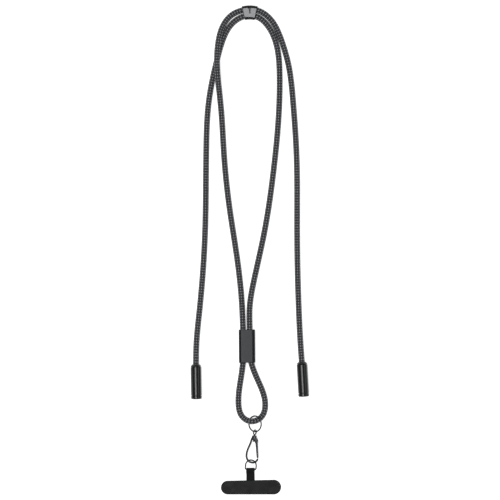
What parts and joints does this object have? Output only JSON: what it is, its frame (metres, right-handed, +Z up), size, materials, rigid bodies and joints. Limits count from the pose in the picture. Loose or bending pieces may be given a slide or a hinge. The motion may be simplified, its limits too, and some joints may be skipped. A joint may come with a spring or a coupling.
{
  "type": "charging cable lanyard",
  "caption": "Phone lanyard made of one long braided charging cable with two covered plugs, a neck clip, a slider, and a snap hook that holds a phone tether pad.",
  "frame": {"origin": "on the surface that the lanyard lies on, under the middle of the clip-to-pad and cover-to-cover extent", "axes": "+Y from the tether pad up to the neck clip, +X to the right seen from above, +Z up from the surface"},
  "size_m": [0.1184, 0.4886, 0.0122],
  "materials": {
    "charcoal_braid": "woven charcoal braid",
    "clip_gloss_black": "polished",
    "gunmetal_satin": "satin gunmetal plating",
    "plug_black": "satin",
    "cover_gloss_black": "high gloss",
    "ring_gunmetal": "polished gunmetal plating",
    "hook_gunmetal": "polished gunmetal plating",
    "black_webbing": "matte webbing",
    "matte_black_rubber": "matte"
  },
  "bodies": {
    "cable_and_ring": {"braided_cable": "charcoal_braid", "neck_clip": "clip_gloss_black", "slider_sleeve": "gunmetal_satin", "left_plug": "plug_black", "right_plug": "plug_black", "loop_ring": "ring_gunmetal", "swivel_eye": "hook_gunmetal"},
    "hook": {"hook_body": "hook_gunmetal", "d_ring": "hook_gunmetal", "tab_strap": "black_webbing", "tether_pad": "matte_black_rubber"},
    "gate": {"hook_gate": "hook_gunmetal"},
    "left_cover_body": {"left_cover": "cover_gloss_black"},
    "right_cover_body": {"right_cover": "cover_gloss_black"}
  },
  "joints": [
    {"name": "hook_swivel", "type": "hinge", "parent": "cable_and_ring", "child": "hook", "pos_m": [0.005, -0.1818, 0.0055], "axis": [0.0955, 0.9911, 0.0923], "continuous": true},
    {"name": "gate_hinge", "type": "hinge", "parent": "hook", "child": "gate", "pos_m": [0.00677, -0.19153, 0.00519], "axis": [0.2156, 0.0699, -0.974], "range_deg": [0, 28], "stiffness_Nm_per_rad": 0.005, "springref_deg": -20.05},
    {"name": "left_cover_slide", "type": "slide", "parent": "cable_and_ring", "child": "left_cover_body", "axis": [0.0168, -0.9999, 0], "range_m": [0, 0.026]},
    {"name": "right_cover_slide", "type": "slide", "parent": "cable_and_ring", "child": "right_cover_body", "axis": [0.0558, -0.9984, 0], "range_m": [0, 0.026]}
  ]
}
